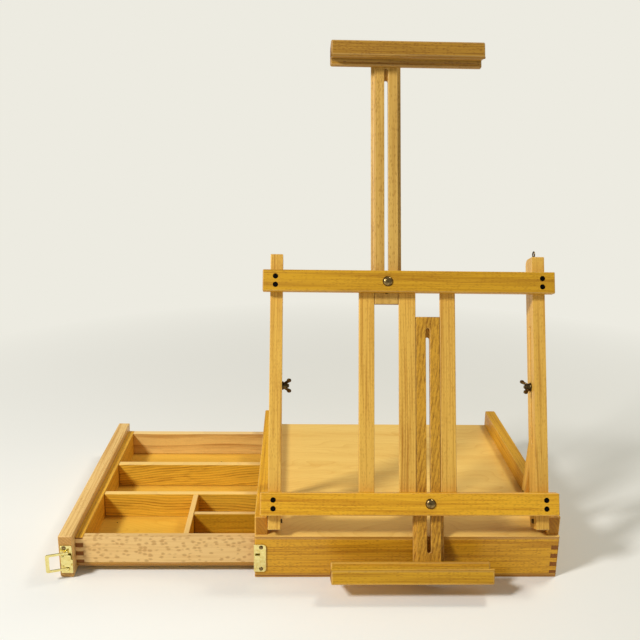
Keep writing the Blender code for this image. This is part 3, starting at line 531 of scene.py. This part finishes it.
# ---------------------------------------------------------------- metalwork
def lathe(name, profile, place, axis, material, segments=40):
    """Turn a profile of (radius, height) about an axis through a place, heights along it."""
    shape = bmesh.new()
    turn = Z_AXIS.rotation_difference(axis).to_matrix().to_4x4()
    rings = []
    for radius, height in profile:
        count = segments if radius else 1
        rings.append([shape.verts.new((radius * math.cos(math.tau * i / segments),
                                       radius * math.sin(math.tau * i / segments), height))
                      for i in range(count)])
    for first, second in zip(rings, rings[1:]):
        for i in range(segments):
            j = (i + 1) % segments
            corners = [first[i % len(first)], first[j % len(first)],
                       second[j % len(second)], second[i % len(second)]]
            shape.faces.new(list(dict.fromkeys(corners)))
    for ring in (rings[0], rings[-1]):
        if len(ring) > 1:
            shape.faces.new(ring)
    bmesh.ops.recalc_face_normals(shape, faces=shape.faces[:])
    shape.transform(Matrix.Translation(place) @ turn)
    mesh = bpy.data.meshes.new(name)
    shape.to_mesh(mesh)
    shape.free()
    mesh.materials.append(material)
    mesh.shade_smooth()
    mesh.set_sharp_from_angle(angle=LATHE_SMOOTH)
    piece = bpy.data.objects.new(name, mesh)
    bpy.context.scene.collection.objects.link(piece)
    return piece


def metal_piece(node, material, width):
    """Rebuild a metal node with finely rounded edges."""
    piece = ease(clean_shape(node), "metal_" + node, width, segments=2, material=material,
                 shortest=SHORT_METAL_EDGE)
    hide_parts(node)
    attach(piece, body_of(node))
    return piece


def build_metal():
    """Latch, catch, bolts, nuts and screws."""
    for node in ("latch_base", "latch_lever", "latch_loop", "catch_plate"):
        metal_piece(node, BRASS, width=0.00022)
    for node in ("latch_screw", "catch_screw_upper", "catch_screw_lower"):
        metal_piece(node, AGED, width=0.0002)
    for node in frame["nodes"]:
        if node.startswith("slider_bolt"):
            metal_piece(node, AGED, width=0.00025)
        if node.startswith(("slider_wing", "strut_bolt", "strut_wing", "stile_pivot", "screw_eye")):
            metal_piece(node, DARK, width=0.00025)
        if "_screw_" in node and node.startswith("crossbar"):
            frame["nodes"][node].data.materials[0] = BLACK
        if node.startswith("strut_pivot"):
            frame["nodes"][node].data.materials[0] = BLACK


def build_bolt_shade_rings():
    """A dark ring round each carriage bolt's head, on the crossbar's face: painted shade, a black ring that
    stands for the shadow in the gap round the head.
    """
    for place in ("upper", "lower"):
        axis_point = Vector(JOINTS["slider_nut_%s_turn" % place]["pos_m"])
        bar = frame["nodes"]["crossbar_" + place].data
        face = max(vert.co.dot(OUT_FRAME) for vert in bar.vertices)
        low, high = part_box("slider_bolt_" + place)
        head = (high[0] - low[0]) / 2
        # (radius, height above the crossbar's face)
        profile = [(0.0, 0.0001), (head * 0.9, 0.0001), (head + 0.0002, 0.0003),
                   (head + 0.0005, 0.0002), (head + 0.0006, -0.0003)]
        # black ring: painted shade round the bolt's head
        ring = lathe("bolt_shade_ring_" + place, profile,
                     axis_point + OUT_FRAME * (face - axis_point.dot(OUT_FRAME)), OUT_FRAME, BLACK)
        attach(ring, body_of("slider_bolt_" + place))


def build_nails():
    """Small nail heads that show inside the drawer."""
    wall_low, wall_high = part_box("drawer_left_wall")
    floor_low, floor_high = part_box("drawer_bottom")
    # (radius, height above the wood)
    head = [(0.0, 0.0), (0.0005, 0.00002), (0.0009, -0.00010), (0.0010, -0.0004)]
    proud = 0.0001
    depth = wall_high[1] - wall_low[1]
    spots = [((wall_high[0], wall_low[1] + depth * share, (wall_low[2] + wall_high[2]) / 2), X_AXIS)
             for share in (0.12, 0.52, 0.86)]
    length = floor_high[0] - floor_low[0]
    depth = floor_high[1] - floor_low[1]
    spots += [((floor_low[0] + length * along, floor_low[1] + depth * across, floor_high[2]), Z_AXIS)
              for along, across in ((0.08, 0.30), (0.42, 0.88))]
    for number, (place, axis) in enumerate(spots, 1):
        nail = lathe("drawer_nail_%d" % number, head, Vector(place) + axis * proud, axis, BLACK, segments=16)
        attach(nail, "drawer")


# ---------------------------------------------------------------- camera, light and floor
def build_camera():
    """Camera in front of the easel and above it, looking down and turned a little to the right."""
    yaw, pitch, roll = CAMERA_YAW, CAMERA_PITCH, CAMERA_ROLL
    ahead = Vector((math.sin(yaw) * math.cos(pitch), math.cos(yaw) * math.cos(pitch), math.sin(pitch)))
    level = Vector((math.cos(yaw), -math.sin(yaw), 0))
    above = level.cross(ahead)
    right = level * math.cos(roll) + above * math.sin(roll)
    up = -level * math.sin(roll) + above * math.cos(roll)
    camera = bpy.data.objects.new("camera", bpy.data.cameras.new("camera"))
    bpy.context.scene.collection.objects.link(camera)
    facing = Matrix((right, up, -ahead)).transposed().to_4x4()
    camera.matrix_world = Matrix.Translation(CAMERA_PLACE) @ facing
    camera.data.sensor_width = CAMERA_SENSOR
    camera.data.lens = CAMERA_LENS
    bpy.context.scene.camera = camera


def area_light(name, offset, size, energy, tint):
    """A square soft light, placed by its offset from the point that it faces."""
    place = LIGHT_TARGET + Vector(offset)
    light = bpy.data.lights.new(name, "AREA")
    light.size = size
    light.energy = energy
    light.color = tint
    lamp = bpy.data.objects.new(name, light)
    bpy.context.scene.collection.objects.link(lamp)
    lamp.location = place
    lamp.rotation_euler = (LIGHT_TARGET - place).to_track_quat("-Z", "Y").to_euler()


def build_surroundings(backdrop):
    """A pale room: the camera sees the backdrop's colour, and less light than that comes from it."""
    world = bpy.data.worlds.new("surroundings")
    world.use_nodes = True
    tree = world.node_tree
    background = tree.nodes["Background"]
    background.inputs[0].default_value = backdrop
    seen = tree.nodes.new("ShaderNodeLightPath")
    strength = tree.nodes.new("ShaderNodeMapRange")
    strength.inputs["To Min"].default_value = ROOM_LIGHT
    strength.inputs["To Max"].default_value = 1.0
    tree.links.new(seen.outputs["Is Camera Ray"], strength.inputs["Value"])
    tree.links.new(strength.outputs["Result"], background.inputs[1])
    bpy.context.scene.world = world


def build_floor(backdrop):
    """A pale floor that fades into the backdrop's colour with distance from the easel."""
    shape = bmesh.new()
    bmesh.ops.create_circle(shape, cap_ends=True, segments=96, radius=FLOOR_RADIUS)
    mesh = bpy.data.meshes.new("floor")
    shape.to_mesh(mesh)
    shape.free()
    floor = bpy.data.objects.new("floor", mesh)
    bpy.context.scene.collection.objects.link(floor)
    floor.location.z = -FLOOR_DROP
    ground = Shader("floor_white")
    place = ground.node("ShaderNodeTexCoord").outputs["Object"]
    cloudy = ground.mix(ground.noise(place, 3.0), colour(240, 240, 237), colour(243, 243, 240))
    ground.set(Base_Color=cloudy, Roughness=0.5, Specular_IOR_Level=0.25)
    distance = ground.node("ShaderNodeVectorMath", {0: place}, operation="LENGTH").outputs["Value"]
    far = ground.node("ShaderNodeEmission", {"Color": backdrop})
    blend = ground.node("ShaderNodeMixShader", {0: ground.remap(distance, FADE_START, FADE_END)})
    output = ground.tree.nodes["Material Output"]
    ground.tree.links.new(ground.surface.outputs[0], blend.inputs[1])
    ground.tree.links.new(far.outputs[0], blend.inputs[2])
    ground.tree.links.new(blend.outputs[0], output.inputs["Surface"])
    mesh.materials.append(ground.material)


def build_stage():
    """Floor, surroundings and lights: a key from the front left, and one from behind on the right."""
    backdrop = colour(237, 235, 225)
    build_surroundings(backdrop)
    build_floor(backdrop)
    bpy.context.scene.view_settings.view_transform = "Standard"
    area_light("key", (-1.62, -1.10, 1.50), size=0.38, energy=48, tint=(1.0, 0.99, 0.965))
    area_light("right", (0.90, 0.45, 1.73), size=0.40, energy=13.5, tint=(1.0, 0.96, 0.82))


build_case()
build_drawer()
build_frame()
build_metal()
build_bolt_shade_rings()
build_nails()
build_camera()
build_stage()
